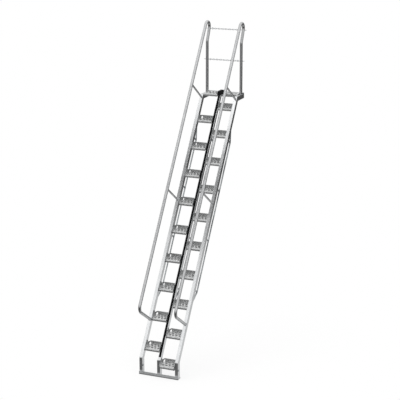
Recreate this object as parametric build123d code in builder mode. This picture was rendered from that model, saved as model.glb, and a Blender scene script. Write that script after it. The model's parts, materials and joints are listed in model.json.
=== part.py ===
# Alternating tread stair: three inclined stringers carry half-width treads that step left and right
# in turn, from a base angle on the floor up to a small landing with posts, handrails and chains.
# Millimetres. X runs across the stair, +Y is the way up, +Z is up.
# The origin is the middle of the underside of the base angle.

import os
from math import cos, floor, hypot, pi, radians, sin, sqrt, tan

from build123d import *

os.makedirs("parts", exist_ok=True)

# Flight
rise = 203.2
rise_count = 20
pitch_angle = 56.0
stair_width = 660.4

# Stringers, feet and base
stringer_width = 50.8
stringer_depth = 76.2
stringer_ahead = 12.7
foot_setback = 36.0
base_thickness = 9.5
base_height = 50.8
base_depth = 101.6
base_overhang = 5.0
anchor_hole = 14.0
anchor_spacing = 304.8

# Treads
tread_depth = 228.6
tread_plate = 3.0
tread_flange = 41.0
tread_kick = 45.0
nose_bevel = 16.0
grip_columns = 4
grip_rows = 3
grip_margin = 12.0
grip_web = 9.0
end_plate = 4.8
end_plate_rise = 80.0
end_plate_reach = 164.0
end_plate_arm = 16.0
end_plate_lead = 6.0
end_plate_brow = 5.0
end_plate_taper = 10.0

# Bumper along the middle stringer, and the block it ends in at the landing
bumper_width = 25.4
bumper_thickness = 22.2
bumper_round = 9.0
bumper_start = 141.0
block_above_landing = 56.0
block_ahead = 27.0
block_reach = 157.0
block_nose_radius = 30.0
block_heel_radius = 12.0

# Landing
landing_depth = 228.6
landing_rail_drop = 14.0
landing_rail_length = 300.0
landing_notch_gap = 6.0
flange_thickness = 6.4
flange_hole = 14.0
flange_hole_spacing = 381.0

# Handrails and posts
tube_diameter = 48.3
rail_offset = 507.0
rail_foot_along = 715.0
rail_foot_bend = 100.0
strut_diameter = 31.8
strut_along = (2745.0, 4588.0)
post_setback = 221.0
post_below_chain = 202.0
post_bend = 75.0
hairpin_radius = 89.0
hairpin_above_chain = 32.0
tube_sides = 12

# Bars behind the stringers
truss_bar = 19.0
truss_offset = 115.0
truss_first_post = 1300.0
truss_post_spacing = 860.0
truss_post_count = 4
truss_lead = 240.0

# Chains across the landing opening
chain_wire = 6.4
link_inside_length = 31.8
link_inside_width = 9.6
upper_chain_height = 1052.0
lower_chain_height = 546.0
eye_shank = 7.9
eye_inside = 16.0
eye_neck = 6.0
eye_tail = 32.0
eye_sides = 8
fit_gap = 0.3

# Worked out from the sizes above
pitch = radians(pitch_angle)
going = rise / tan(pitch)
half_width = stair_width / 2
side_x = half_width - stringer_width / 2
inner_x = half_width - stringer_width
middle_x = stringer_width / 2
tread_width = inner_x - middle_x
base_front = -base_depth / 2
foot_front = base_front + base_thickness
foot_back = foot_front + stringer_depth
nosing_start = foot_front - foot_setback
landing_z = rise * rise_count
landing_front = nosing_start + going * (rise_count - 1)
landing_back = landing_front + landing_depth
landing_end = landing_front + landing_rail_length
landing_rail_top = landing_z - landing_rail_drop
stringer_back = stringer_ahead - stringer_depth
middle_front = stringer_ahead - bumper_thickness
block_end = landing_front + block_reach
post_y = landing_front + post_setback
post_height = upper_chain_height - post_below_chain
tube_radius = tube_diameter / 2
hairpin_height = upper_chain_height + hairpin_above_chain


# Points on the line of the nosings
def on_slope(along, above):
    """A side-view point (y, z), so far up the nosing line and so far out from it."""
    y = nosing_start + along * cos(pitch) - above * sin(pitch)
    z = rise + along * sin(pitch) + above * cos(pitch)
    return (y, z)


def along_at_z(z, above):
    """How far up the nosing line a line that runs beside it reaches height z."""
    return (z - rise - above * cos(pitch)) / sin(pitch)


def along_at_y(y, above):
    """How far up the nosing line a line that runs beside it reaches depth y."""
    return (y - nosing_start + above * sin(pitch)) / cos(pitch)


def save(piece, name):
    """Label one finished piece and write it."""
    piece.part.label = name
    export_step(piece.part, f"parts/{name}.step")


# Base angle: a tall leg in front and a flat leg under the feet, with two anchor holes
def make_base():
    length = stair_width + 2 * base_overhang
    front = base_front
    profile = [
        (front, 0),
        (front + base_depth, 0),
        (front + base_depth, base_thickness),
        (front + base_thickness, base_thickness),
        (front + base_thickness, base_height),
        (front, base_height),
    ]
    with BuildPart() as base:
        with BuildSketch(Plane.YZ.offset(-length / 2)):
            with BuildLine():
                Polyline(profile, close=True)
            make_face()
        extrude(amount=length)
        with Locations((0, foot_mid_y(), base_thickness)):
            with GridLocations(anchor_spacing, 0, 2, 1):
                Hole(anchor_hole / 2, depth=base_thickness)
    save(base, "base_angle")


def foot_mid_y():
    """The line of the anchors, in the middle of the feet."""
    return (foot_front + foot_back) / 2


# Feet: short upright tubes cut on the mitre plane where the stringers start
bend_along = along_at_y(foot_front, stringer_ahead)
bend_z = on_slope(bend_along, stringer_ahead)[1]
mitre_slope = tan((radians(90) - pitch) / 2)


def foot_top(y):
    """Height of the mitre plane over depth y."""
    return bend_z - (y - foot_front) * mitre_slope


def make_foot(x, name):
    profile = [
        (foot_front, base_thickness),
        (foot_back, base_thickness),
        (foot_back, foot_top(foot_back)),
        (foot_front, foot_top(foot_front)),
    ]
    with BuildPart() as foot:
        with BuildSketch(Plane.YZ.offset(x - stringer_width / 2)):
            with BuildLine():
                Polyline(profile, close=True)
            make_face()
        extrude(amount=stringer_width)
    save(foot, name)


# Side stringers run from the mitre at the foot to the mitre at the landing rail
landing_mitre_slope = tan(pitch / 2)


def landing_mitre_y(z):
    """Depth of the mitre plane at the landing, at height z."""
    corner_along = along_at_z(landing_rail_top, stringer_ahead)
    corner_y = on_slope(corner_along, stringer_ahead)[0]
    return corner_y + (landing_rail_top - z) * landing_mitre_slope


def mitre_foot_point(above):
    """Where a line beside the nosing line meets the foot mitre."""
    start = on_slope(0, above)
    rise_per_y = tan(pitch)
    y = (bend_z + foot_front * mitre_slope - start[1] + start[0] * rise_per_y) / (rise_per_y + mitre_slope)
    return (y, foot_top(y))


def make_side_stringer(x, name):
    top_z = landing_rail_top
    low_z = landing_rail_top - stringer_depth
    profile = [
        mitre_foot_point(stringer_ahead),
        (landing_mitre_y(top_z), top_z),
        (landing_mitre_y(low_z), low_z),
        mitre_foot_point(stringer_back),
    ]
    with BuildPart() as stringer:
        with BuildSketch(Plane.YZ.offset(x - stringer_width / 2)):
            with BuildLine():
                Polyline(profile, close=True)
            make_face()
        extrude(amount=stringer_width)
    save(stringer, name)


# Landing rails carry the landing plate and the posts, level with each other
def make_landing_rail(x, name):
    top_z = landing_rail_top
    low_z = landing_rail_top - stringer_depth
    profile = [
        (landing_mitre_y(top_z), top_z),
        (landing_end, top_z),
        (landing_end, low_z),
        (landing_mitre_y(low_z), low_z),
    ]
    with BuildPart() as rail:
        with BuildSketch(Plane.YZ.offset(x - stringer_width / 2)):
            with BuildLine():
                Polyline(profile, close=True)
            make_face()
        extrude(amount=stringer_width)
    save(rail, name)


# Middle stringer: shallower, its back in line with the others, cut off level at its top
def slope_at_z(above, z):
    """Where a line beside the nosing line reaches height z."""
    return on_slope(along_at_z(z, above), above)


def make_middle_stringer():
    profile = [
        mitre_foot_point(middle_front),
        slope_at_z(middle_front, landing_rail_top),
        slope_at_z(stringer_back, landing_rail_top),
        mitre_foot_point(stringer_back),
    ]
    with BuildPart() as stringer:
        with BuildSketch(Plane.YZ.offset(-stringer_width / 2)):
            with BuildLine():
                Polyline(profile, close=True)
            make_face()
        extrude(amount=stringer_width)
    save(stringer, "middle_stringer")


# Bumper: a rounded rubber strip up the middle stringer, moulded to a thick block on its top end
def make_bumper():
    start = on_slope(bumper_start, middle_front)
    strip_length = along_at_z(landing_z, middle_front) - bumper_start
    uphill = (0, cos(pitch), sin(pitch))
    block_width = 2 * (middle_x - fit_gap)
    block_top = landing_z + block_above_landing
    block_profile = [
        slope_at_z(block_ahead, landing_rail_top),
        slope_at_z(block_ahead, block_top),
        (block_end, block_top),
        (block_end, landing_rail_top),
    ]
    with BuildPart() as bumper:
        with BuildSketch(Plane.YZ.offset(-block_width / 2)):
            with BuildLine():
                Polyline(block_profile, close=True)
            make_face()
        extrude(amount=block_width)
        top_edges = bumper.edges().filter_by(Axis.X).group_by(Axis.Z)[-1].sort_by(Axis.Y)
        fillet(top_edges[0], block_nose_radius)
        top_edges = bumper.edges().filter_by(Axis.X).group_by(Axis.Z)[-1].sort_by(Axis.Y)
        fillet(top_edges[-1], block_heel_radius)
        with BuildSketch(Plane(origin=(0, start[0], start[1]), x_dir=(1, 0, 0), z_dir=uphill)) as section:
            with Locations((0, -bumper_thickness / 2)):
                Rectangle(bumper_width, bumper_thickness)
            fillet(section.vertices().group_by(Axis.Y)[0], bumper_round)
        extrude(amount=strip_length)
    save(bumper, "centre_bumper")


# Bent sheet of a tread or of the landing: a flange in front, a bevelled nose and the level plate
def nose_outside(front, top):
    return [(front, top - tread_flange), (front, top - nose_bevel), (front + nose_bevel, top)]


def nose_inside(front, top):
    inset = nose_bevel + tread_plate * tan(radians(22.5))
    return [
        (front + inset, top - tread_plate),
        (front + tread_plate, top - inset),
        (front + tread_plate, top - tread_flange),
    ]


# Diamond grip openings in staggered rows, every second row one opening shorter
def grip_openings(x_mid, width, front, depth, columns, rows):
    pitch_x = (width - 2 * grip_margin) / columns
    pitch_y = (depth - nose_bevel - 2 * grip_margin) / rows
    half_x = (pitch_x - grip_web) / 2
    half_y = (pitch_y - grip_web) / 2
    first_y = front + nose_bevel + grip_margin + pitch_y / 2
    for row in range(rows):
        count = columns - row % 2
        first_x = x_mid - pitch_x * (count - 1) / 2
        for column in range(count):
            with Locations((first_x + pitch_x * column, first_y + pitch_y * row)):
                Polygon((-half_x, 0), (0, -half_y), (half_x, 0), (0, half_y))


# One half-width tread: bent sheet with grip openings and a kick plate, between two end plates
# that peak over the front and slope down to the top of the kick plate
def make_tread(number):
    left_side = number % 2 == 0
    x_low = -inner_x if left_side else middle_x
    x_high = x_low + tread_width
    x_mid = (x_low + x_high) / 2
    top = rise * number
    front = nosing_start + going * (number - 1)
    back = front + tread_depth
    kick_profile = [
        (back - tread_plate, top),
        (back - tread_plate, top + tread_kick),
        (back, top + tread_kick),
        (back, top - tread_plate),
    ]
    sheet_profile = nose_outside(front, top) + kick_profile + nose_inside(front, top)
    sheet_width = tread_width - 2 * end_plate
    shoulder = end_plate_lead + (end_plate_rise - end_plate_taper) / tan(pitch)
    end_profile = [
        (front, top - tread_flange),
        (front, top + end_plate_brow),
        (front + shoulder, top + end_plate_rise),
        (back, top + tread_kick),
        (back, top + tread_kick - end_plate_arm),
        (front + end_plate_reach, top + tread_kick - end_plate_arm),
        (front + end_plate_reach, top - tread_flange),
    ]
    with BuildPart() as tread:
        with BuildSketch(Plane.YZ.offset(x_mid - sheet_width / 2)):
            with BuildLine():
                Polyline(sheet_profile, close=True)
            make_face()
        extrude(amount=sheet_width)
        with BuildSketch(Plane.XY.offset(top)):
            grip_openings(x_mid, sheet_width, front, tread_depth, grip_columns, grip_rows)
        extrude(amount=-tread_plate, mode=Mode.SUBTRACT)
        for x in (x_low, x_high - end_plate):
            with BuildSketch(Plane.YZ.offset(x)):
                with BuildLine():
                    Polyline(end_profile, close=True)
                make_face()
            extrude(amount=end_plate)
    save(tread, f"tread_{number:02d}")


# Landing plate: the left half comes forward as the last step, the right half stays one going back
def make_landing_plate():
    right_front = landing_front + going
    notch_back = block_end + landing_notch_gap
    half_mid = (inner_x + middle_x) / 2
    half_places = ((-half_mid, landing_front), (half_mid, right_front))
    with BuildPart() as plate:
        for x, front in half_places:
            back_edge = [(landing_back, landing_z), (landing_back, landing_z - tread_plate)]
            with BuildSketch(Plane.YZ.offset(x - tread_width / 2)):
                with BuildLine():
                    profile = nose_outside(front, landing_z) + back_edge + nose_inside(front, landing_z)
                    Polyline(profile, close=True)
                make_face()
            extrude(amount=tread_width)
        with BuildSketch(Plane.XY.offset(landing_z)):
            with Locations((0, (notch_back + landing_back) / 2)):
                Rectangle(2 * middle_x, landing_back - notch_back)
        extrude(amount=-tread_plate)
        with BuildSketch(Plane.XY.offset(landing_z)):
            for x, front in half_places:
                depth = landing_back - front
                rows = max(2, round(grip_rows * depth / tread_depth))
                grip_openings(x, tread_width, front, depth, grip_columns, rows)
        extrude(amount=-tread_plate, mode=Mode.SUBTRACT)
    save(plate, "landing_plate")


# Landing flange: a level leg behind the plate and a full-width leg that bolts to the upper floor
def make_landing_flange():
    low_z = landing_rail_top - stringer_depth
    with BuildPart() as flange:
        with BuildSketch(Plane.XZ.offset(-landing_end)):
            with Locations((0, (landing_z + low_z) / 2)):
                Rectangle(stair_width, landing_z - low_z)
        extrude(amount=-flange_thickness)
        with BuildSketch(Plane.XY.offset(landing_z - flange_thickness)):
            with Locations((0, (landing_back + landing_end) / 2)):
                Rectangle(2 * inner_x, landing_end - landing_back)
        extrude(amount=flange_thickness)
        hole_plane = Plane.XZ.offset(-landing_end - flange_thickness)
        with Locations(hole_plane):
            with Locations((0, landing_rail_top - stringer_depth / 2)):
                with GridLocations(flange_hole_spacing, 0, 2, 1):
                    Hole(flange_hole / 2, depth=flange_thickness)
    save(flange, "landing_flange")


# Handrails: up from the stringer, along the flight, round the hairpin and back down to the post
post_top = (post_y, landing_z + post_height)
hairpin_along = along_at_z(landing_z + hairpin_height, rail_offset - hairpin_radius)
hairpin_centre = on_slope(hairpin_along, rail_offset - hairpin_radius)


def return_leg_direction():
    """Unit vector (y, z) of the straight leg from the top of the post to the hairpin."""
    reach_y = hairpin_centre[0] - post_top[0]
    reach_z = hairpin_centre[1] - post_top[1]
    reach = hypot(reach_y, reach_z)
    across = hairpin_radius / reach
    along = sqrt(1 - across**2)
    y = (reach_y * along + reach_z * across) / reach
    z = (reach_z * along - reach_y * across) / reach
    return (y, z)


def return_leg_y(z):
    """Depth of the return leg at height z."""
    direction = return_leg_direction()
    return post_top[0] + (z - post_top[1]) * direction[0] / direction[1]


def make_handrail(x, name):
    foot = on_slope(rail_foot_along, stringer_ahead)
    foot_bend = on_slope(rail_foot_along, rail_offset)
    first_tangent = on_slope(hairpin_along, rail_offset)
    apex = (hairpin_centre[0], hairpin_centre[1] + hairpin_radius)
    leg = return_leg_direction()
    last_tangent = (hairpin_centre[0] + hairpin_radius * leg[1], hairpin_centre[1] - hairpin_radius * leg[0])
    post_end = (post_y, post_top[1] - post_bend)
    upper_z = landing_z + upper_chain_height
    with BuildPart() as handrail:
        with BuildLine(Plane.YZ.offset(x)) as route:
            FilletPolyline(foot, foot_bend, first_tangent, radius=rail_foot_bend)
            ThreePointArc(first_tangent, apex, last_tangent)
            FilletPolyline(last_tangent, post_top, post_end, radius=post_bend)
        path = route.wire()
        with BuildSketch(Plane(origin=path @ 0, x_dir=(1, 0, 0), z_dir=path % 0)):
            RegularPolygon(tube_radius, tube_sides)
        sweep(path=path)
        with BuildSketch(Plane.YZ.offset(x - tube_diameter)):
            with Locations((return_leg_y(upper_z), upper_z)):
                Circle(eye_shank / 2 + fit_gap)
        extrude(amount=2 * tube_diameter, mode=Mode.SUBTRACT)
    save(handrail, name)


# Posts stand on the landing rails and end under the handrail
def make_post(x, name):
    foot_z = landing_rail_top
    top_z = landing_z + post_height - post_bend
    with BuildPart() as post:
        with BuildSketch(Plane.XY.offset(foot_z)):
            with Locations((x, post_y)):
                RegularPolygon(tube_radius, tube_sides)
        extrude(amount=top_z - foot_z)
        with BuildSketch(Plane.YZ.offset(x - tube_diameter)):
            with Locations((post_y, landing_z + lower_chain_height)):
                Circle(eye_shank / 2 + fit_gap)
        extrude(amount=2 * tube_diameter, mode=Mode.SUBTRACT)
    save(post, name)


# Struts hold the handrail off the stringer, coped to the tube at their outer end
def make_strut(x, along, name):
    start = on_slope(along, stringer_ahead)
    axis_point = on_slope(along, rail_offset)
    rail_low = on_slope(along - tube_diameter, rail_offset)
    outward = (0, axis_point[0] - start[0], axis_point[1] - start[1])
    uphill = (0, cos(pitch), sin(pitch))
    with BuildPart() as strut:
        with BuildSketch(Plane(origin=(x, start[0], start[1]), x_dir=(1, 0, 0), z_dir=outward)):
            RegularPolygon(strut_diameter / 2, tube_sides)
        extrude(amount=rail_offset - stringer_ahead)
        with BuildSketch(Plane(origin=(x, rail_low[0], rail_low[1]), x_dir=(1, 0, 0), z_dir=uphill)):
            Circle(tube_radius + fit_gap)
        extrude(amount=2 * tube_diameter, mode=Mode.SUBTRACT)
    save(strut, name)


# Truss bars: a square bar that stands off the back of each stringer on four short posts
def make_truss(x, name):
    chord = stringer_back - truss_offset - truss_bar / 2
    last_post = truss_first_post + truss_post_spacing * (truss_post_count - 1)
    low_end = truss_first_post - truss_lead
    high_end = last_post + truss_lead
    route = [
        on_slope(low_end, stringer_back),
        on_slope(truss_first_post, chord + truss_bar / 2),
        on_slope(last_post, chord + truss_bar / 2),
        on_slope(high_end, stringer_back),
        on_slope(high_end + truss_bar, stringer_back),
        on_slope(last_post + truss_bar / 2, chord - truss_bar / 2),
        on_slope(truss_first_post - truss_bar / 2, chord - truss_bar / 2),
        on_slope(low_end - truss_bar, stringer_back),
    ]
    with BuildPart() as truss:
        with BuildSketch(Plane.YZ.offset(x - truss_bar / 2)):
            with BuildLine():
                Polyline(route, close=True)
            make_face()
            for index in range(truss_post_count):
                along = truss_first_post + index * truss_post_spacing
                corners = [
                    on_slope(along - truss_bar / 2, stringer_back),
                    on_slope(along + truss_bar / 2, stringer_back),
                    on_slope(along + truss_bar / 2, chord),
                    on_slope(along - truss_bar / 2, chord),
                ]
                with BuildLine():
                    Polyline(corners, close=True)
                make_face()
        extrude(amount=truss_bar)
    save(truss, name)


# Chains: links turned a quarter from one to the next, pulled straight between two eye bolts
link_pitch = link_inside_length - fit_gap
eye_outer = eye_inside / 2 + eye_shank
chain_room = 2 * (side_x - tube_radius - eye_neck - eye_outer - eye_inside / 2)
link_count = 2 * floor((chain_room / link_pitch - 1) / 2) + 1
eye_x = (link_count * link_pitch - fit_gap + eye_inside) / 2


def link_route():
    """Middle line of one link's wire, with each round end as four short sides."""
    turn = (link_inside_width + chain_wire) / 2
    half_straight = (link_inside_length + chain_wire) / 2 - turn
    corner_radius = turn / cos(radians(22.5))
    points = []
    for side in (1, -1):
        for angle in (-67.5, -22.5, 22.5, 67.5):
            x = half_straight + corner_radius * cos(radians(angle))
            y = corner_radius * sin(radians(angle))
            points.append((side * x, side * y))
    return points


def make_chain(y, z, name):
    first = -link_pitch * (link_count - 1) / 2
    points = link_route()
    with BuildPart() as chain:
        for index in range(link_count):
            centre = (first + index * link_pitch, y, z)
            face_dir = (0, 0, 1) if index % 2 == 0 else (0, 1, 0)
            with BuildLine(Plane(origin=centre, x_dir=(1, 0, 0), z_dir=face_dir)) as route:
                Polyline(points, close=True)
            path = route.wire()
            with BuildSketch(Plane(origin=path @ 0.05, x_dir=face_dir, z_dir=path % 0.05)):
                RegularPolygon(chain_wire / 2, 6, major_radius=False)
            sweep(path=path, transition=Transition.RIGHT)
    save(chain, name)


# Eye bolts pass through the tubes and hold the end links of both chains
def make_eyes(places):
    ring_radius = (eye_inside + eye_shank) / 2
    shank_start = eye_x + ring_radius
    shank_end = side_x + tube_radius + eye_tail
    with BuildPart() as eyes:
        for y, z in places:
            for side in (-1, 1):
                centre = (side * eye_x, y, z)
                with BuildLine(Plane(origin=centre, x_dir=(1, 0, 0), z_dir=(0, -1, 0))) as route:
                    corner_radius = ring_radius / cos(pi / eye_sides)
                    turns = [2 * pi * (index + 0.5) / eye_sides for index in range(eye_sides)]
                    corners = [(corner_radius * cos(turn), corner_radius * sin(turn)) for turn in turns]
                    Polyline(corners, close=True)
                path = route.wire()
                with BuildSketch(Plane(origin=path @ 0.05, x_dir=(0, 1, 0), z_dir=path % 0.05)):
                    RegularPolygon(eye_shank / 2, eye_sides)
                sweep(path=path, transition=Transition.RIGHT)
                with BuildSketch(Plane.YZ.offset(side * shank_start)):
                    with Locations((y, z)):
                        RegularPolygon(eye_shank / 2, tube_sides)
                extrude(amount=side * (shank_end - shank_start))
    save(eyes, "chain_eyes")


make_base()
for x, name in ((-side_x, "left_foot"), (0, "middle_foot"), (side_x, "right_foot")):
    make_foot(x, name)
make_side_stringer(-side_x, "left_stringer")
make_side_stringer(side_x, "right_stringer")
make_landing_rail(-side_x, "left_landing_rail")
make_landing_rail(side_x, "right_landing_rail")
make_middle_stringer()
make_bumper()
for number in range(1, rise_count):
    make_tread(number)
make_landing_plate()
make_landing_flange()
for x, side in ((-side_x, "left"), (side_x, "right")):
    make_handrail(x, f"{side}_handrail")
    make_post(x, f"{side}_post")
    for along, place in zip(strut_along, ("lower", "upper")):
        make_strut(x, along, f"{side}_{place}_strut")
for x, name in ((-side_x, "left_truss"), (0, "middle_truss"), (side_x, "right_truss")):
    make_truss(x, name)
upper_z = landing_z + upper_chain_height
lower_z = landing_z + lower_chain_height
make_chain(return_leg_y(upper_z), upper_z, "upper_chain")
make_chain(post_y, lower_z, "lower_chain")
make_eyes([(return_leg_y(upper_z), upper_z), (post_y, lower_z)])
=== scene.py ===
import json
from math import cos, pi, radians, sin, tan

import bmesh
import bpy
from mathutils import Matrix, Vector


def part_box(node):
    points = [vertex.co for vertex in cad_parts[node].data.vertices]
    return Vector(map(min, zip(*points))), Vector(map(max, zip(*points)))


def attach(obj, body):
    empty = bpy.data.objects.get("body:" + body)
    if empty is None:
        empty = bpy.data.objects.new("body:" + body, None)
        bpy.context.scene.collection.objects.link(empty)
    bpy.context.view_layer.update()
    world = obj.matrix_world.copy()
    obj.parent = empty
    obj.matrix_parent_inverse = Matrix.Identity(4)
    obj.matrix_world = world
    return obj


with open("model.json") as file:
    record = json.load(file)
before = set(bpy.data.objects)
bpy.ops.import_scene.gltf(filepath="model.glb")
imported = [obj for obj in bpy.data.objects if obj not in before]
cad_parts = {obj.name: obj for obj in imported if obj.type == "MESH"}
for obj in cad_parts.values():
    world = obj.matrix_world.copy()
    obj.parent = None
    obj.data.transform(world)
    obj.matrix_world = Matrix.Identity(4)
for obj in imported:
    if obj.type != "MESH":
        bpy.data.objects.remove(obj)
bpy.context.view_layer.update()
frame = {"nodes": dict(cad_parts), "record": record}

# Sizes of the stair in metres, the same as in the part: flight and stringers
RISE = 0.2032
RISE_COUNT = 20
PITCH = radians(56.0)
GOING = RISE / tan(PITCH)
NOSING_START = -0.0773
STRINGER_WIDTH = 0.0508
STRINGER_DEPTH = 0.0762
STRINGER_AHEAD = 0.0127
SIDE_X = 0.3048
INNER_X = 0.2794
MIDDLE_X = 0.0254

# Feet and base
FOOT_FRONT = -0.0413
FOOT_MID_Y = -0.0032
BASE_THICKNESS = 0.0095
ANCHOR_SPACING = 0.3048

# Treads and their grip openings
TREAD_DEPTH = 0.2286
TREAD_PLATE = 0.003
TREAD_FLANGE = 0.041
NOSE_BEVEL = 0.016
SHEET_WIDTH = 0.2444
END_PLATE_RISE = 0.080
END_PLATE_SHOULDER = 0.0532
END_PLATE_BROW = 0.005
GRIP_COLUMNS = 4
GRIP_ROWS = 3
GRIP_MARGIN = 0.012
GRIP_WEB = 0.009

# Landing
LANDING_Z = RISE * RISE_COUNT
LANDING_FRONT = NOSING_START + GOING * (RISE_COUNT - 1)
LANDING_RAIL_LENGTH = 0.300
LANDING_RAIL_DROP = 0.014
LANDING_END = LANDING_FRONT + LANDING_RAIL_LENGTH
RAIL_TOP = LANDING_Z - LANDING_RAIL_DROP
FLANGE_HOLE_SPACING = 0.381

# Handrails, posts, struts and chains
TUBE_RADIUS = 0.02415
STRUT_RADIUS = 0.0159
STRUT_ALONG = (2.745, 4.588)
RAIL_FOOT_ALONG = 0.715
POST_SETBACK = 0.221
POST_Y = LANDING_FRONT + POST_SETBACK
UPPER_CHAIN_HEIGHT = 1.052
LOWER_CHAIN_HEIGHT = 0.546
EYE_SHANK = 0.0079


def on_slope(along, above):
    """Side-view point (y, z), so far up the nosing line and so far out from it."""
    y = NOSING_START + along * cos(PITCH) - above * sin(PITCH)
    z = RISE + along * sin(PITCH) + above * cos(PITCH)
    return y, z


def tread_place(number):
    """Side of a tread, 1 on the right and -1 on the left, the Y of its front and the Z of its top."""
    return (1 if number % 2 else -1), NOSING_START + GOING * (number - 1), RISE * number


# Colours and nodes
WHITE = (1, 1, 1, 1)


def linear(hex_colour):
    """Linear RGBA of an sRGB hex colour."""
    channels = [int(hex_colour[i:i + 2], 16) / 255 for i in (0, 2, 4)]
    bent = [c / 12.92 if c <= 0.04045 else ((c + 0.055) / 1.055) ** 2.4 for c in channels]
    return (*bent, 1.0)


def node(tree, kind, values=None, links=None, stops=None, **settings):
    """Add a node with its settings, input values, links and, for a ramp, its (position, hex) stops."""
    made = tree.nodes.new(kind)
    for key, value in settings.items():
        setattr(made, key, value)
    for key, value in (values or {}).items():
        made.inputs[key].default_value = value
    for key, source in (links or {}).items():
        tree.links.new(source, made.inputs[key])
    if stops:
        elements = made.color_ramp.elements
        elements[0].position, elements[-1].position = stops[0][0], stops[-1][0]
        elements[0].color, elements[-1].color = linear(stops[0][1]), linear(stops[-1][1])
        for position, colour in stops[1:-1]:
            elements.new(position).color = linear(colour)
    return made


def start_material(name):
    """A material with its tree, shader and object coordinates in metres."""
    material = bpy.data.materials.new(name)
    material.use_nodes = True
    tree = material.node_tree
    shader = tree.nodes["Principled BSDF"]
    coords = tree.nodes.new("ShaderNodeTexCoord").outputs["Object"]
    return material, tree, shader, coords


def cells(mm):
    """Texture scale for a pattern whose cell is so many millimetres."""
    return 1000.0 / mm


def galvanised(name, dark, light, rough, spangle_mm=14.0, bump_mm=0.05):
    """Hot-dip galvanised steel: crystals of zinc that differ a little in tone and gloss."""
    material, tree, shader, coords = start_material(name)
    crystal = node(tree, "ShaderNodeTexVoronoi", {"Scale": cells(spangle_mm)}, {"Vector": coords})
    tone = node(tree, "ShaderNodeSeparateColor", links={"Color": crystal.outputs["Color"]})
    cloud = node(tree, "ShaderNodeTexNoise", {"Scale": cells(180.0), "Detail": 4.0}, {"Vector": coords})
    mixed = node(tree, "ShaderNodeMix", {"Factor": 0.35},
                 {"A": cloud.outputs["Fac"], "B": tone.outputs["Red"]}).outputs["Result"]
    zinc = node(tree, "ShaderNodeValToRGB", links={"Fac": mixed}, stops=[(0.25, dark), (0.75, light)])
    tree.links.new(zinc.outputs["Color"], shader.inputs["Base Color"])
    gloss = node(tree, "ShaderNodeMapRange", {"To Min": rough[0], "To Max": rough[1]}, {"Value": mixed})
    tree.links.new(gloss.outputs["Result"], shader.inputs["Roughness"])
    grain = node(tree, "ShaderNodeTexNoise", {"Scale": cells(6.0), "Detail": 3.0}, {"Vector": coords})
    bump = node(tree, "ShaderNodeBump", {"Strength": 0.5, "Distance": bump_mm / 1000},
                {"Height": grain.outputs["Fac"]})
    tree.links.new(bump.outputs["Normal"], shader.inputs["Normal"])
    shader.inputs["Metallic"].default_value = 1.0
    return material


def grip_plate():
    """Galvanised tread plate: zinc gone dull and slightly chalky, brighter on every upward face, scuffed by
    feet plus painted top light.
    """
    material, tree, shader, coords = start_material("galvanised_grip_plate")
    cloud = node(tree, "ShaderNodeTexNoise", {"Scale": cells(25.0), "Detail": 6.0, "Roughness": 0.65},
                 {"Vector": coords}).outputs["Fac"]
    dull = node(tree, "ShaderNodeValToRGB", links={"Fac": cloud}, stops=[(0.3, "A9AAAA"), (0.7, "CBCCCC")])
    # Upward faces take a brighter ramp: scuffing from feet plus painted top light
    worn_and_lit_top = node(tree, "ShaderNodeValToRGB", links={"Fac": cloud}, stops=[(0.3, "DEDFDF"), (0.7, "FAFAFA")])
    facing = node(tree, "ShaderNodeNewGeometry").outputs["Normal"]
    upward = node(tree, "ShaderNodeSeparateXYZ", links={"Vector": facing}).outputs["Z"]
    wear_and_top_light = node(tree, "ShaderNodeMapRange", {"From Min": 0.85, "From Max": 0.97}, {"Value": upward})
    colour = node(tree, "ShaderNodeMix", data_type="RGBA", links={
        0: wear_and_top_light.outputs["Result"], 6: dull.outputs["Color"], 7: worn_and_lit_top.outputs["Color"]})
    tree.links.new(colour.outputs[2], shader.inputs["Base Color"])
    gloss = node(tree, "ShaderNodeMapRange", {"To Min": 0.32, "To Max": 0.5}, {"Value": cloud})
    tree.links.new(gloss.outputs["Result"], shader.inputs["Roughness"])
    grain = node(tree, "ShaderNodeTexVoronoi", {"Scale": cells(5.0)}, {"Vector": coords})
    bump = node(tree, "ShaderNodeBump", {"Strength": 0.6, "Distance": 0.0004},
                {"Height": grain.outputs["Distance"]})
    tree.links.new(bump.outputs["Normal"], shader.inputs["Normal"])
    shader.inputs["Metallic"].default_value = 0.85
    return material


def rubber():
    """Black moulded rubber with a fine grain and a grey bloom of dust."""
    material, tree, shader, coords = start_material("black_moulded_rubber")
    dust = node(tree, "ShaderNodeTexNoise", {"Scale": cells(120.0), "Detail": 5.0},
                {"Vector": coords}).outputs["Fac"]
    black = node(tree, "ShaderNodeValToRGB", links={"Fac": dust}, stops=[(0.35, "040405"), (0.75, "0F0F10")])
    tree.links.new(black.outputs["Color"], shader.inputs["Base Color"])
    gloss = node(tree, "ShaderNodeMapRange", {"To Min": 0.5, "To Max": 0.65}, {"Value": dust})
    tree.links.new(gloss.outputs["Result"], shader.inputs["Roughness"])
    shader.inputs["Specular IOR Level"].default_value = 0.08
    grain = node(tree, "ShaderNodeTexNoise", {"Scale": cells(1.5), "Detail": 2.0}, {"Vector": coords})
    bump = node(tree, "ShaderNodeBump", {"Strength": 0.4, "Distance": 0.0002},
                {"Height": grain.outputs["Fac"]})
    tree.links.new(bump.outputs["Normal"], shader.inputs["Normal"])
    return material


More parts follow.
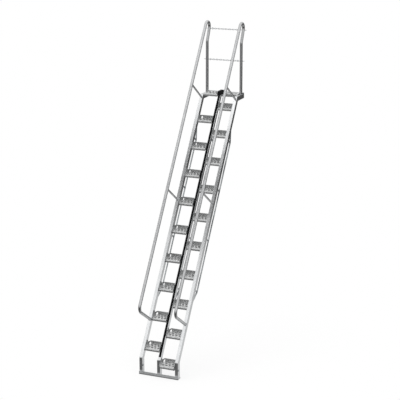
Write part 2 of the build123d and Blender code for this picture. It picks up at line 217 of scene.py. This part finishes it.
def zinc_plate(name, colour, rough):
    """Bright zinc plating with fine drawing scratches."""
    material, tree, shader, coords = start_material(name)
    streak = node(tree, "ShaderNodeTexNoise", {"Scale": cells(3.0), "Detail": 3.0},
                  {"Vector": coords}).outputs["Fac"]
    gloss = node(tree, "ShaderNodeMapRange", {"To Min": rough[0], "To Max": rough[1]}, {"Value": streak})
    tree.links.new(gloss.outputs["Result"], shader.inputs["Roughness"])
    shader.inputs["Base Color"].default_value = linear(colour)
    shader.inputs["Metallic"].default_value = 1.0
    bump = node(tree, "ShaderNodeBump", {"Strength": 0.3, "Distance": 0.0001}, {"Height": streak})
    tree.links.new(bump.outputs["Normal"], shader.inputs["Normal"])
    return material


# Structural tube, dipped: the brightest of the zinc, it mirrors the room in long soft bands
stringer_steel = galvanised("galvanised_structural_tube", "CED0D1", "E6E7E8", (0.10, 0.17))
# Heavier angle and plate: a little duller, with blurred reflections
base_steel = galvanised("galvanised_angle", "ABADAE", "CACCCD", (0.24, 0.34))
# Handrail pipe: smooth, with smaller spangle and hardly any grain, so that it shines along its length
handrail_steel = galvanised("galvanised_handrail_pipe", "B4B5B6", "CACBCC", (0.14, 0.22), spangle_mm=10.0,
                            bump_mm=0.015)
# Small square bars behind the stringers: the dullest, an even satin grey
truss_steel = galvanised("galvanised_square_bar", "A6AAAC", "C4C8CA", (0.30, 0.40))
# Chain and eye bolts: plated, with a crisp glint on each link
chain_steel = zinc_plate("zinc_plated_chain", "C6C9CB", (0.22, 0.36))
# Bolt heads, nuts and washers: the same plating, a little greyer
bolt_steel = zinc_plate("zinc_plated_bolt", "B4B8BA", (0.25, 0.38))
# Weld beads under the zinc: grey and rough
weld_steel = zinc_plate("galvanised_weld_bead", "A2A6A8", (0.34, 0.5))
bumper_rubber = rubber()
tread_steel = grip_plate()

SLOT_MATERIALS = {
    "stringer_steel": stringer_steel,
    "base_steel": base_steel,
    "tread_steel": tread_steel,
    "handrail_steel": handrail_steel,
    "truss_steel": truss_steel,
    "bumper_rubber": bumper_rubber,
    "chain_steel": chain_steel,
}
for part in frame["record"]["subparts"]:
    materials = frame["nodes"][part["node"]].data.materials
    materials.clear()
    materials.append(SLOT_MATERIALS[part["material_slot"]])

# Square tubes, the base angle and the rubber have rounded corners: the radius for each kind of piece
CORNER_RADII = {
    "stringer": 0.003,
    "foot": 0.003,
    "landing_rail": 0.003,
    "truss": 0.0015,
    "base_angle": 0.0015,
    "centre_bumper": 0.006,
}
CORNER_ANGLE = radians(50)
JOIN_DISTANCE = 0.00002
for name, cad_node in frame["nodes"].items():
    radii = [radius for word, radius in CORNER_RADII.items() if word in name]
    if radii:
        weld = cad_node.modifiers.new("joined_faces", "WELD")
        weld.merge_threshold = JOIN_DISTANCE
        bevel = cad_node.modifiers.new("rounded_corners", "BEVEL")
        bevel.width = radii[0]
        bevel.segments = 2
        bevel.limit_method = "ANGLE"
        bevel.angle_limit = CORNER_ANGLE

# Round tubes are shaded round, and edges over this angle stay sharp
ROUND_TUBES = ("handrail", "post", "strut")
SHARP_ANGLE = radians(40)


def round_tube_nodes():
    """Join the faces of a round tube and shade it round, with its sharp ends kept."""
    tree = bpy.data.node_groups.new("round_tube", "GeometryNodeTree")
    tree.interface.new_socket("Geometry", in_out="INPUT", socket_type="NodeSocketGeometry")
    tree.interface.new_socket("Geometry", in_out="OUTPUT", socket_type="NodeSocketGeometry")
    source = node(tree, "NodeGroupInput").outputs[0]
    joined = node(tree, "GeometryNodeMergeByDistance", {"Distance": JOIN_DISTANCE}, {"Geometry": source})
    angle = node(tree, "GeometryNodeInputMeshEdgeAngle").outputs["Unsigned Angle"]
    sharp = node(tree, "FunctionNodeCompare", {"B": SHARP_ANGLE}, {"A": angle}, operation="GREATER_THAN")
    shaded = node(tree, "GeometryNodeSetMeshNormal", {"Remove Custom": True},
                  {"Mesh": joined.outputs[0], "Edge Sharpness": sharp.outputs[0]}, mode="SHARPNESS")
    node(tree, "NodeGroupOutput", links={0: shaded.outputs[0]})
    return tree


round_tube = round_tube_nodes()
for name, cad_node in frame["nodes"].items():
    if any(word in name for word in ROUND_TUBES):
        cad_node.modifiers.new("round_tube", "NODES").node_group = round_tube


# Small pieces: each kind is one mesh
def finish_piece(bm, name, material):
    """Turn a bmesh into one piece that rides on the stair."""
    bmesh.ops.recalc_face_normals(bm, faces=bm.faces)
    mesh = bpy.data.meshes.new(name)
    bm.to_mesh(mesh)
    bm.free()
    mesh.materials.append(material)
    piece = bpy.data.objects.new(name, mesh)
    bpy.context.scene.collection.objects.link(piece)
    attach(piece, "root")


def circle(centre, axis, radius, count, along=0.0):
    """Points in a circle round an axis, so far along it from the centre."""
    turn = Vector(axis).normalized().to_track_quat("Z", "Y").to_matrix()
    angles = [2 * pi * index / count for index in range(count)]
    return [Vector(centre) + turn @ Vector((radius * cos(a), radius * sin(a), along)) for a in angles]


def join_rings(bm, rings, smooth=False, capped=True):
    """Faces between each ring of vertices and the next, and a face over each end."""
    count = len(rings[0])
    for low, high in zip(rings, rings[1:]):
        for corner in range(count):
            after = (corner + 1) % count
            face = bm.faces.new((low[corner], low[after], high[after], high[corner]))
            face.smooth = smooth
    if capped:
        bm.faces.new(list(reversed(rings[0])))
        bm.faces.new(rings[-1])


def turned(bm, centre, axis, profile, sides):
    """Add a closed turned form: (distance along the axis, radius) from one end to the other."""
    rings = []
    for along, radius in profile:
        rings.append([bm.verts.new(point) for point in circle(centre, axis, radius, sides, along)])
    join_rings(bm, rings, smooth=sides > 8)


def hex_head(bm, centre, axis, across, height):
    """A hexagon nut or bolt head with its corners chamfered."""
    corner = across / 2 / cos(pi / 6)
    shoulder = height * 0.82
    top = across / 2 * 0.93
    turned(bm, centre, axis, [(0, corner), (shoulder, corner), (height, top)], 6)


def washer(bm, centre, axis, radius, thickness):
    """A plain washer with its edges eased."""
    edge = thickness * 0.25
    profile = [(0, radius - edge), (edge, radius), (thickness - edge, radius), (thickness, radius - edge)]
    turned(bm, centre, axis, profile, 24)


def stud_end(bm, centre, axis, radius, length):
    """The end of a threaded stud: a stack of thread crests and a chamfer."""
    pitch = radius * 0.3
    root = radius * 0.9
    profile = [(0, radius)]
    along = 0.0
    while along + pitch < length - pitch:
        profile.append((along + pitch / 2, root))
        profile.append((along + pitch, radius))
        along += pitch
    profile.append((length, radius * 0.8))
    turned(bm, centre, axis, profile, 16)


def bolt_set(bm, centre, axis, across, height, stud_length=0.0):
    """Washer, nut or head, and stud end, one on the other."""
    centre = Vector(centre)
    axis = Vector(axis)
    plate = across * 0.12
    washer(bm, centre, axis, across * 0.95, plate)
    hex_head(bm, centre + axis * plate, axis, across, height)
    if stud_length:
        stud_end(bm, centre + axis * (plate + height), axis, across * 0.32, stud_length)


def bead(bm, points, radius, closed=False):
    """A rippled weld bead along a run of points."""
    ripple = radius * 1.6
    points = [Vector(p) for p in points]
    if closed:
        points.append(points[0])
    stations = []
    for start, end in zip(points, points[1:]):
        steps = max(1, round((end - start).length / ripple))
        for index in range(steps):
            stations.append((start + (end - start) * index / steps, (end - start).normalized()))
    stations.append((points[-1], (points[-1] - points[-2]).normalized()))
    rings = []
    for index, (place, direction) in enumerate(stations):
        size = radius * (1.0 if index % 2 else 0.8)
        rings.append([bm.verts.new(point) for point in circle(place, direction, size, 6)])
    join_rings(bm, rings, smooth=True)


# Weld beads round the edge of each tread's end plates, where they lie on the stringers
TREAD_BEAD = 0.0026
TREAD_WELD_BACK = 0.110
TREAD_WELD_BACK_RISE = 0.069
TREAD_WELD_UNDER = 0.046
tread_welds = bmesh.new()
for number in range(1, RISE_COUNT):
    side, front, top = tread_place(number)
    half = TREAD_BEAD / 2
    under = top - TREAD_FLANGE - half
    outline = [
        (front + TREAD_WELD_BACK, top + TREAD_WELD_BACK_RISE + half),
        (front + END_PLATE_SHOULDER - half, top + END_PLATE_RISE + half),
        (front - half, top + END_PLATE_BROW),
        (front - half, under),
        (front + TREAD_WELD_UNDER, under),
    ]
    low_x, high_x = sorted((side * MIDDLE_X, side * INNER_X))
    for x in (low_x + half, high_x - half):
        bead(tread_welds, [(x, y, z) for y, z in outline], TREAD_BEAD)
finish_piece(tread_welds, "tread_welds", weld_steel)

# Weld beads round the feet, posts, struts and handrail ends
FRAME_BEAD = 0.003
STRUT_BEAD = 0.0028
FOOT_WELD_START = FOOT_FRONT + 0.004
FOOT_BACK = FOOT_FRONT + STRINGER_DEPTH
TUBE_WELD_STEPS = 28
OUTWARD = (0, -sin(PITCH), cos(PITCH))
frame_welds = bmesh.new()
for x in (-SIDE_X, 0, SIDE_X):
    left, right = x - STRINGER_WIDTH / 2, x + STRINGER_WIDTH / 2
    bead(frame_welds, [(left, FOOT_BACK, BASE_THICKNESS), (right, FOOT_BACK, BASE_THICKNESS)], FRAME_BEAD)
    for edge in (left, right):
        run = [(edge, FOOT_WELD_START, BASE_THICKNESS), (edge, FOOT_BACK, BASE_THICKNESS)]
        bead(frame_welds, run, FRAME_BEAD)
for x in (-SIDE_X, SIDE_X):
    post_ring = circle((x, POST_Y, RAIL_TOP), (0, 0, 1), TUBE_RADIUS, TUBE_WELD_STEPS)
    bead(frame_welds, post_ring, FRAME_BEAD, closed=True)
    for along in STRUT_ALONG:
        strut_ring = circle((x, *on_slope(along, STRINGER_AHEAD)), OUTWARD, STRUT_RADIUS, TUBE_WELD_STEPS)
        bead(frame_welds, strut_ring, STRUT_BEAD, closed=True)
    rail_foot = (x, *on_slope(RAIL_FOOT_ALONG, STRINGER_AHEAD))
    bead(frame_welds, circle(rail_foot, OUTWARD, TUBE_RADIUS, TUBE_WELD_STEPS), FRAME_BEAD, closed=True)
finish_piece(frame_welds, "frame_welds", weld_steel)

# Raised saw-tooth lips round each grip opening, and the plain lips turned down under it
LIP_WALL = 0.0022
LIP_DROP = 0.010
LIP_END_GAP = LIP_WALL * 0.8
LIP_CREST = LIP_WALL * 0.4
TOOTH_PITCH = 0.009
TOOTH_HIGH = 0.0055
TOOTH_LOW = 0.0020


def grip_openings(x_mid, width, front, depth, rows):
    """Middle and half sizes of each diamond opening, as in the part."""
    pitch_x = (width - 2 * GRIP_MARGIN) / GRIP_COLUMNS
    pitch_y = (depth - NOSE_BEVEL - 2 * GRIP_MARGIN) / rows
    for row in range(rows):
        count = GRIP_COLUMNS - row % 2
        first_x = x_mid - pitch_x * (count - 1) / 2
        y = front + NOSE_BEVEL + GRIP_MARGIN + pitch_y * (row + 0.5)
        for column in range(count):
            yield first_x + pitch_x * column, y, (pitch_x - GRIP_WEB) / 2, (pitch_y - GRIP_WEB) / 2


def saw_lip(bm, start, end, away, top):
    """A saw-toothed ridge on the plate along one side of an opening."""
    stations = 2 * max(2, round((end - start).length / TOOTH_PITCH))
    rings = []
    for index in range(stations + 1):
        place = start + (end - start) * index / stations
        height = TOOTH_HIGH if index % 2 else TOOTH_LOW
        near_edge = Vector((place.x, place.y, top))
        far_edge = near_edge + away * LIP_WALL
        crest = near_edge + away * LIP_CREST + Vector((0, 0, height))
        rings.append([bm.verts.new(point) for point in (near_edge, far_edge, crest)])
    join_rings(bm, rings)


def drop_lip(bm, x, y, half_x, half_y, under):
    """A plain collar turned down round one opening, under the plate."""
    grow = 1 + LIP_WALL / min(half_x, half_y) * 1.3
    corners = ((-half_x, 0), (0, -half_y), (half_x, 0), (0, half_y))
    rings = []
    for scale, z in ((1, under), (1, under - LIP_DROP), (grow, under - LIP_DROP), (grow, under)):
        rings.append([bm.verts.new((x + dx * scale, y + dy * scale, z)) for dx, dy in corners])
    join_rings(bm, rings + rings[:1], capped=False)


def opening_lips(bm, openings, top):
    """The raised and the turned-down lips of every opening in one plate."""
    for x, y, half_x, half_y in openings:
        corners = [Vector((x - half_x, y, 0)), Vector((x, y - half_y, 0)),
                   Vector((x + half_x, y, 0)), Vector((x, y + half_y, 0))]
        for start, end in zip(corners, corners[1:] + corners[:1]):
            along = (end - start).normalized()
            away = Vector((along.y, -along.x, 0))
            gap = along * LIP_END_GAP
            saw_lip(bm, start + gap, end - gap, away, top)
        drop_lip(bm, x, y, half_x, half_y, top - TREAD_PLATE)


# The landing's left half goes further forward than its right half, by one row of openings
HALF_MIDDLE = (INNER_X + MIDDLE_X) / 2
HALF_WIDTH = INNER_X - MIDDLE_X
LANDING_BACK = LANDING_FRONT + TREAD_DEPTH
LANDING_HALVES = ((-HALF_MIDDLE, LANDING_FRONT, 3), (HALF_MIDDLE, LANDING_FRONT + GOING, 2))
grip_lips = bmesh.new()
for number in range(1, RISE_COUNT):
    side, front, top = tread_place(number)
    opening_lips(grip_lips, grip_openings(side * HALF_MIDDLE, SHEET_WIDTH, front, TREAD_DEPTH, GRIP_ROWS), top)
for x, front, rows in LANDING_HALVES:
    opening_lips(grip_lips, grip_openings(x, HALF_WIDTH, front, LANDING_BACK - front, rows), LANDING_Z)
finish_piece(grip_lips, "grip_lips", tread_steel)

# Nuts, washers, bolt heads and stud ends
BOLT_ACROSS = 0.019
NUT_HEIGHT = 0.010
HEAD_HEIGHT = 0.008
ANCHOR_STUD = 0.014
FOOT_BOLT_Y = -0.019
FOOT_BOLT_Z = 0.150
EYE_NUT_ACROSS = 0.0135
EYE_OUTER_NUT = 0.0065
EYE_INNER_NUT = 0.0055
fasteners = bmesh.new()
for side in (-1, 1):
    anchor = (side * ANCHOR_SPACING / 2, FOOT_MID_Y, BASE_THICKNESS)
    bolt_set(fasteners, anchor, (0, 0, 1), BOLT_ACROSS, NUT_HEIGHT, ANCHOR_STUD)
for side in (-1, 1):
    flange_hole = (side * FLANGE_HOLE_SPACING / 2, LANDING_END, RAIL_TOP - STRINGER_DEPTH / 2)
    bolt_set(fasteners, flange_hole, (0, -1, 0), BOLT_ACROSS, HEAD_HEIGHT)
for side in (-1, 1):
    foot_side = (side * SIDE_X + STRINGER_WIDTH / 2, FOOT_BOLT_Y, FOOT_BOLT_Z)
    bolt_set(fasteners, foot_side, (1, 0, 0), BOLT_ACROSS, HEAD_HEIGHT)
eyes_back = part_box("chain_eyes")[1].y
upper_eye = (eyes_back - EYE_SHANK / 2, LANDING_Z + UPPER_CHAIN_HEIGHT)
lower_eye = (POST_Y, LANDING_Z + LOWER_CHAIN_HEIGHT)
for y, z in (upper_eye, lower_eye):
    for side in (-1, 1):
        outer = (side * (SIDE_X + TUBE_RADIUS), y, z)
        inner = (side * (SIDE_X - TUBE_RADIUS), y, z)
        hex_head(fasteners, outer, (side, 0, 0), EYE_NUT_ACROSS, EYE_OUTER_NUT)
        hex_head(fasteners, inner, (-side, 0, 0), EYE_NUT_ACROSS, EYE_INNER_NUT)
finish_piece(fasteners, "fasteners", bolt_steel)

# Floor, in metres from its centre: pale, with a soft shadow near the stair and white further out.
# Glossy rays see a glowing floor instead, a painted reflection: darker with distance, with painted light
# and painted shadow strips in front of the stair and a painted bright glow far in front.
FLOOR_RADIUS = 30.0
FLOOR_CENTRE = (0.4, 1.2, 0.0)
SHADOW_FADE = (1.2, 3.2)
SHADOW_WHITE = 0.8
FALLOFF_REACH = 14.0
PAINTED_REFLECTION_FALLOFF = [(0.04, "DDDDDD"), (0.2, "CBCBCB"), (0.39, "BCBCBC"), (0.46, "A4A4A4"), (0.59, "7C7C7C"),
           (0.83, "585858"), (1.0, "545454")]
FRONT_STRIPS_Y = (-1.5, -1.2)
PAINTED_LIGHT_AND_SHADOW_STRIPS = [(0.33, "838383"), (0.52, "FFFFFF"), (0.72, "FFFFFF"), (0.75, "6C6C6C"), (0.86, "6C6C6C"),
                (1.0, "FFFFFF")]
FAR_FRONT_Y = (-9.0, -15.0)
PAINTED_FAR_GLOW_STRENGTH = 5.8


def pale_floor_and_painted_reflection():
    """Matt pale studio floor, white to the camera away from the stair, and a glowing painted reflection for
    glossy rays.
    """
    material, tree, shader, coords = start_material("pale_floor_with_painted_reflection")
    shader.inputs["Base Color"].default_value = linear("F4F4F4")
    shader.inputs["Roughness"].default_value = 0.9
    shader.inputs["Specular IOR Level"].default_value = 0.0
    path = node(tree, "ShaderNodeLightPath")
    reach = node(tree, "ShaderNodeVectorMath", links={0: coords}, operation="LENGTH").outputs["Value"]
    away = node(tree, "ShaderNodeMapRange", {"From Min": SHADOW_FADE[0], "From Max": SHADOW_FADE[1]},
                {"Value": reach}, interpolation_type="SMOOTHSTEP")
    white_share = node(tree, "ShaderNodeMapRange", {"To Min": SHADOW_WHITE, "To Max": 1.0},
                       {"Value": away.outputs["Result"]})
    to_camera = node(tree, "ShaderNodeMath", operation="MULTIPLY", links={
        0: white_share.outputs["Result"], 1: path.outputs["Is Camera Ray"]})
    white = node(tree, "ShaderNodeEmission", {"Color": WHITE, "Strength": 1.0})
    seen = node(tree, "ShaderNodeMixShader", links={
        0: to_camera.outputs["Value"], 1: shader.outputs[0], 2: white.outputs[0]})
    # Painted reflection for glossy rays: glow fading with distance, light and shadow strips, bright glow ahead
    share = node(tree, "ShaderNodeMapRange", {"From Min": 0.0, "From Max": FALLOFF_REACH}, {"Value": reach})
    painted_falloff = node(tree, "ShaderNodeValToRGB", links={"Fac": share.outputs["Result"]}, stops=PAINTED_REFLECTION_FALLOFF)
    ahead = node(tree, "ShaderNodeSeparateXYZ", links={"Vector": coords}).outputs["Y"]
    strip = node(tree, "ShaderNodeMapRange", {"From Min": FRONT_STRIPS_Y[0], "From Max": FRONT_STRIPS_Y[1]},
                 {"Value": ahead})
    strips = node(tree, "ShaderNodeValToRGB", links={"Fac": strip.outputs["Result"]}, stops=PAINTED_LIGHT_AND_SHADOW_STRIPS)
    far = node(tree, "ShaderNodeMapRange", {
        "From Min": FAR_FRONT_Y[0], "From Max": FAR_FRONT_Y[1], "To Min": 0.0, "To Max": PAINTED_FAR_GLOW_STRENGTH,
    }, {"Value": ahead})
    strength = node(tree, "ShaderNodeMath", operation="MAXIMUM", links={
        0: strips.outputs["Color"], 1: far.outputs["Result"]})
    painted_reflection = node(tree, "ShaderNodeEmission", links={
        "Color": painted_falloff.outputs["Color"], "Strength": strength.outputs["Value"]})
    surface = node(tree, "ShaderNodeMixShader", links={
        0: path.outputs["Is Glossy Ray"], 1: seen.outputs[0], 2: painted_reflection.outputs[0]})
    tree.links.new(surface.outputs[0], tree.nodes["Material Output"].inputs["Surface"])
    return material


floor_disc = bmesh.new()
bmesh.ops.create_circle(floor_disc, cap_ends=True, segments=96, radius=FLOOR_RADIUS)
floor_mesh = bpy.data.meshes.new("floor")
floor_disc.to_mesh(floor_mesh)
floor_disc.free()
floor_mesh.materials.append(pale_floor_and_painted_reflection())
floor = bpy.data.objects.new("floor", floor_mesh)
floor.location = FLOOR_CENTRE
bpy.context.scene.collection.objects.link(floor)

# Bands of the room by the sine of their height above the horizon
ROOM_STRENGTH = 1.6
ROOM_BANDS = [
    (0.0, "767676"),
    (0.10, "AAAAAA"),
    (0.45, "CCCCCC"),
    (0.690, "E1E1E1"),
    (0.713, "B0B0B0"),
    (0.724, "404040"),
    (0.755, "404040"),
    (0.766, "E8E8E8"),
    (0.772, "FFFFFF"),
    (0.815, "FFFFFF"),
    (0.830, "E1E1E1"),
    (1.0, "E1E1E1"),
]


def studio_world():
    """Room light: white for the camera, bands of light and dark for everything that reflects it."""
    world = bpy.data.worlds.new("studio")
    world.use_nodes = True
    tree = world.node_tree
    tree.nodes.clear()
    direction = node(tree, "ShaderNodeTexCoord").outputs["Generated"]
    height = node(tree, "ShaderNodeSeparateXYZ", links={"Vector": direction}).outputs["Z"]
    room = node(tree, "ShaderNodeValToRGB", links={"Fac": height}, stops=ROOM_BANDS).outputs["Color"]
    lit = node(tree, "ShaderNodeBackground", {"Strength": ROOM_STRENGTH}, {"Color": room})
    white = node(tree, "ShaderNodeBackground", {"Color": WHITE, "Strength": 1.0})
    path = node(tree, "ShaderNodeLightPath")
    surface = node(tree, "ShaderNodeMixShader", links={
        0: path.outputs["Is Camera Ray"], 1: lit.outputs[0], 2: white.outputs[0]})
    node(tree, "ShaderNodeOutputWorld", links={"Surface": surface.outputs[0]})
    return world


bpy.context.scene.world = studio_world()

# One large soft lamp, high in front on the left. It lights the stair, and metal doesn't mirror it.
LAMP_PLACE = Vector((-6.0, -4.0, 11.0))
LAMP_TARGET = Vector((0, 1.0, 2.0))
LAMP_SIZE = 7.0
LAMP_WATTS = 260.0
lamp_data = bpy.data.lights.new("key", "AREA")
lamp_data.shape = "DISK"
lamp_data.size = LAMP_SIZE
lamp_data.energy = LAMP_WATTS
lamp = bpy.data.objects.new("key", lamp_data)
lamp.location = LAMP_PLACE
lamp.rotation_euler = (LAMP_TARGET - LAMP_PLACE).to_track_quat("-Z", "Y").to_euler()
lamp.visible_glossy = False
bpy.context.scene.collection.objects.link(lamp)

# Camera at the photograph's viewing angle
AZIMUTH = radians(22.2307)
ELEVATION = radians(15.3887)
TARGET = Vector((0.3859, 0.7355, 2.7297))
DISTANCE = 19.5539
camera_data = bpy.data.cameras.new("camera")
camera_data.lens = 112.768
camera_data.sensor_width = 36.0
camera = bpy.data.objects.new("camera", camera_data)
back = Vector((sin(AZIMUTH) * cos(ELEVATION), -cos(AZIMUTH) * cos(ELEVATION), sin(ELEVATION)))
camera.location = TARGET + back * DISTANCE
camera.rotation_euler = (pi / 2 - ELEVATION, 0, AZIMUTH)
bpy.context.scene.collection.objects.link(camera)
bpy.context.scene.camera = camera
bpy.context.scene.view_settings.view_transform = "Standard"
